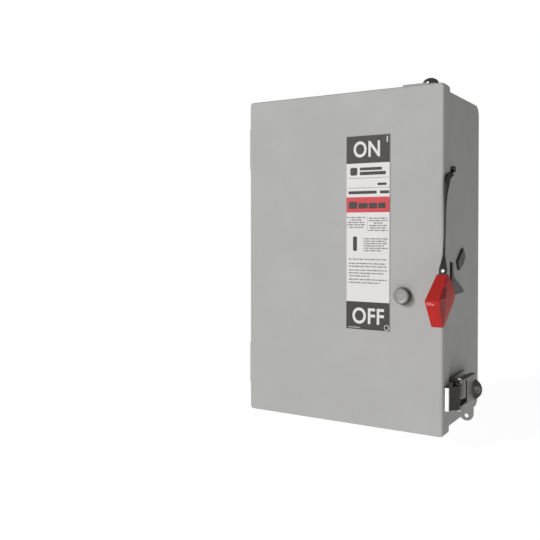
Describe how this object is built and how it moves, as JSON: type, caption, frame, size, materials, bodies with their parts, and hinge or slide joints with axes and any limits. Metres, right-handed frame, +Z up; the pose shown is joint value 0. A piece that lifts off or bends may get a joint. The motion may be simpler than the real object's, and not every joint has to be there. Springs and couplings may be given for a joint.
{
  "type": "side-operated disconnect switch box",
  "caption": "Grey sheet-steel wall box with a hinged door, a red side handle, a push button, a side latch and a fused knife switch inside.",
  "frame": {"origin": "middle of the rear sheet's outer face, on the wall", "axes": "+Z up; +Y into the wall, so the door faces -Y; +X to the right seen from the front"},
  "size_m": [0.3067, 0.2436, 0.473],
  "materials": {
    "grey_paint": "light grey baked enamel",
    "black_steel": "black, semi-gloss",
    "zinc_steel": "bright zinc plated",
    "tinned_copper": "tin plated copper",
    "red_plastic": "moulded, satin",
    "button_plastic": "moulded, satin",
    "label_white": "printed vinyl",
    "foam_rubber": "closed-cell foam",
    "moulded_base": "glass-filled moulding",
    "clear_shield": "clear polycarbonate",
    "fuse_tube": "fibre tube",
    "brass": "turned"
  },
  "bodies": {
    "enclosure": {"enclosure_body": "grey_paint", "back_panel": "grey_paint", "hub_plate": "grey_paint", "hub_cap": "black_steel", "hinge_leaf_box_upper": "grey_paint", "hinge_leaf_box_lower": "grey_paint", "hinge_pin_upper": "zinc_steel", "hinge_pin_lower": "zinc_steel", "shaft_bush": "brass", "mechanism_frame": "zinc_steel", "snap_spring": "zinc_steel", "switch_base": "moulded_base", "ground_bar": "tinned_copper", "padlock_tab_upper": "black_steel", "padlock_tab_lower": "black_steel", "latch_base": "black_steel", "latch_rivet_lower": "zinc_steel", "latch_rivet_upper": "zinc_steel", "line_terminal_left": "tinned_copper", "line_terminal_middle": "tinned_copper", "line_terminal_right": "tinned_copper", "upper_fuse_clip_left": "tinned_copper", "upper_fuse_clip_middle": "tinned_copper", "upper_fuse_clip_right": "tinned_copper", "lower_fuse_clip_left": "tinned_copper", "lower_fuse_clip_middle": "tinned_copper", "lower_fuse_clip_right": "tinned_copper", "fuse_left": "fuse_tube", "fuse_middle": "fuse_tube", "fuse_right": "fuse_tube"},
    "door": {"door": "grey_paint", "hinge_leaf_door_upper": "grey_paint", "hinge_leaf_door_lower": "grey_paint", "door_gasket": "foam_rubber", "label_plate": "label_white", "button_bezel": "black_steel", "door_keeper": "zinc_steel", "interlock_bracket": "zinc_steel", "button_spring": "zinc_steel"},
    "button": {"push_button": "button_plastic"},
    "rocker": {"interlock_rocker": "zinc_steel"},
    "handle": {"handle_arm": "black_steel", "handle_grip": "red_plastic", "arm_rivet": "zinc_steel", "handle_bolt": "zinc_steel", "handle_washer": "zinc_steel", "handle_shaft": "zinc_steel", "shaft_crank": "zinc_steel"},
    "drive_link": {"drive_link": "zinc_steel"},
    "contacts": {"crossbar": "moulded_base", "crossbar_end_left": "zinc_steel", "crossbar_end_right": "zinc_steel", "contact_crank": "zinc_steel", "knife_blade_left": "tinned_copper", "knife_blade_middle": "tinned_copper", "knife_blade_right": "tinned_copper"},
    "latch_lever": {"latch_lever": "black_steel"},
    "latch_link": {"latch_link": "black_steel", "latch_hook": "zinc_steel"},
    "shield": {"line_shield": "clear_shield"}
  },
  "joints": [
    {"name": "door_hinge", "type": "hinge", "parent": "enclosure", "child": "door", "pos_m": [-0.1435, -0.1465, 0], "axis": [0, 0, -1], "range_deg": [0, 120]},
    {"name": "button_push", "type": "slide", "parent": "door", "child": "button", "axis": [0, 1, 0], "range_m": [0, 0.004], "stiffness_N_per_m": 600, "springref_m": -0.002},
    {"name": "rocker_turn", "type": "hinge", "parent": "door", "child": "rocker", "pos_m": [0.088, -0.139, -0.0667], "axis": [-1, 0, 0], "range_deg": [0, 13]},
    {"name": "handle_turn", "type": "hinge", "parent": "enclosure", "child": "handle", "pos_m": [0.134, -0.141, 0.112], "axis": [-1, 0, 0], "range_deg": [0, 75]},
    {"name": "drive_link_turn", "type": "hinge", "parent": "handle", "child": "drive_link", "pos_m": [0.0805, -0.14921, 0.13455], "axis": [-1, 0, 0], "range_deg": [-75, 0]},
    {"name": "contacts_turn", "type": "hinge", "parent": "enclosure", "child": "contacts", "pos_m": [0, -0.062, 0.072], "axis": [-1, 0, 0], "range_deg": [0, 75]},
    {"name": "latch_lever_turn", "type": "hinge", "parent": "enclosure", "child": "latch_lever", "pos_m": [0.1465, -0.135, -0.168], "axis": [0, 0, -1], "range_deg": [0, 110]},
    {"name": "latch_link_turn", "type": "hinge", "parent": "latch_lever", "child": "latch_link", "pos_m": [0.143, -0.115, -0.168], "axis": [0, 0, -1], "range_deg": [-110, 0]},
    {"name": "shield_lift", "type": "hinge", "parent": "enclosure", "child": "shield", "pos_m": [-0.014, -0.102, 0.168], "axis": [-1, 0, 0], "range_deg": [0, 85]}
  ],
  "couplings": [
    {"joint": "rocker_turn", "follows": "button_push", "rad_per_m": 55},
    {"joint": "drive_link_turn", "follows": "handle_turn", "ratio": -1},
    {"joint": "contacts_turn", "follows": "handle_turn", "ratio": 1},
    {"joint": "latch_link_turn", "follows": "latch_lever_turn", "ratio": -1}
  ]
}
